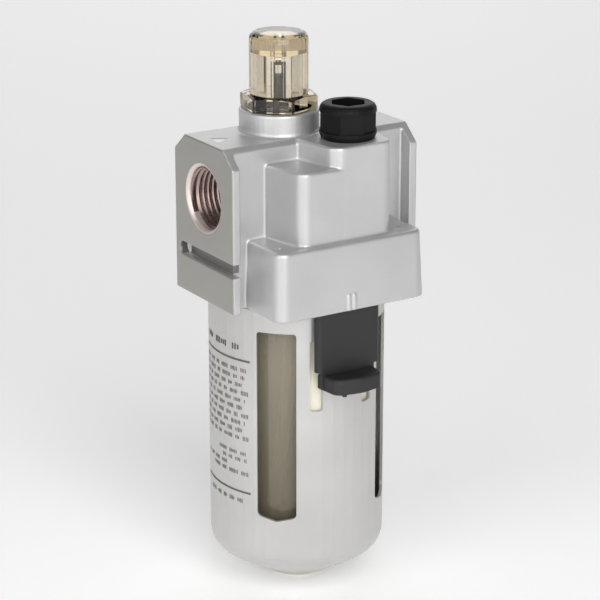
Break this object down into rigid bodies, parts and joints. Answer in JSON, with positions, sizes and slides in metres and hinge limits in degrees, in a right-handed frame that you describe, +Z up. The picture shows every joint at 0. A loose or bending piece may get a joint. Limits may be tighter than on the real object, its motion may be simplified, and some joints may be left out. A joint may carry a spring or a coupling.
{
  "type": "air line oil mist lubricator",
  "caption": "Air-line oil mist lubricator: ported die-cast body, clear sight dome, filler plug, and a smoked bowl in a windowed bayonet guard with a sprung lock button.",
  "frame": {"origin": "middle of the pipe line, half way between the two port faces", "axes": "+X from inlet to outlet along the pipe line, -Y the front of the unit, +Z up, along the bowl's axis towards the body"},
  "size_m": [0.07, 0.0738, 0.1876],
  "materials": {
    "cast_body": "satin",
    "guard_metal": "satin",
    "amber_clear": "gloss",
    "smoke_clear": "gloss",
    "black_gloss": "satin",
    "black_matte": "matte",
    "cream_nylon": "satin",
    "clear_nylon": "satin",
    "nitrile": "matte",
    "spring_steel": "satin",
    "sintered_bronze": "matte"
  },
  "bodies": {
    "casting": {"body": "cast_body", "drip_stem": "black_matte", "drip_stem_o_ring": "nitrile", "dome_o_ring": "nitrile", "damper_sleeve": "black_matte", "siphon_fitting": "black_matte", "siphon_tube": "clear_nylon", "strainer": "sintered_bronze"},
    "flow_dome": {"sight_dome": "amber_clear", "needle_valve": "amber_clear"},
    "filler_seal": {"fill_plug_o_ring": "nitrile"},
    "filler_plug": {"fill_plug": "black_gloss"},
    "bowl_unit": {"bowl": "smoke_clear", "bowl_o_ring": "nitrile", "bowl_guard": "guard_metal", "lock_holder": "cream_nylon", "lock_spring": "spring_steel", "drain_o_ring": "nitrile"},
    "bowl_lock": {"lock_button": "black_matte"},
    "drain": {"drain_plug": "cream_nylon"},
    "flow_damper": {"damper": "nitrile"},
    "non_return_ball": {"check_ball": "spring_steel"}
  },
  "joints": [
    {"name": "dome_turn", "type": "hinge", "parent": "casting", "child": "flow_dome", "pos_m": [-0.0056, 0.0016, 0.026], "axis": [0, 0, 1], "range_deg": [0, 540]},
    {"name": "plug_lift", "type": "slide", "parent": "casting", "child": "filler_seal", "axis": [0, 0, 1], "range_m": [0, 0.0105]},
    {"name": "plug_turn", "type": "hinge", "parent": "filler_seal", "child": "filler_plug", "pos_m": [0.0075, -0.0191, 0.0187], "axis": [0, 0, 1], "range_deg": [0, 2525]},
    {"name": "bowl_turn", "type": "hinge", "parent": "casting", "child": "bowl_unit", "pos_m": [0, 0, -0.034], "axis": [0, 0, 1], "range_deg": [0, 45]},
    {"name": "lock_slide", "type": "slide", "parent": "bowl_unit", "child": "bowl_lock", "axis": [0, 0, -1], "range_m": [0, 0.0045], "stiffness_N_per_m": 450, "springref_m": -0.003, "deforming": ["lock_spring"]},
    {"name": "drain_turn", "type": "hinge", "parent": "bowl_unit", "child": "drain", "pos_m": [0, 0, -0.1339], "axis": [0, 0, 1], "range_deg": [0, 270]},
    {"name": "damper_swing", "type": "hinge", "parent": "casting", "child": "flow_damper", "pos_m": [-0.01085, 0, 0.0052], "axis": [0, -1, 0], "range_deg": [0, 40], "stiffness_Nm_per_rad": 0.0002},
    {"name": "check_ball_lift", "type": "slide", "parent": "casting", "child": "non_return_ball", "axis": [0, 0, 1], "range_m": [0, 0.0009]}
  ],
  "couplings": [
    {"joint": "plug_turn", "follows": "plug_lift", "rad_per_m": 4188.8}
  ]
}
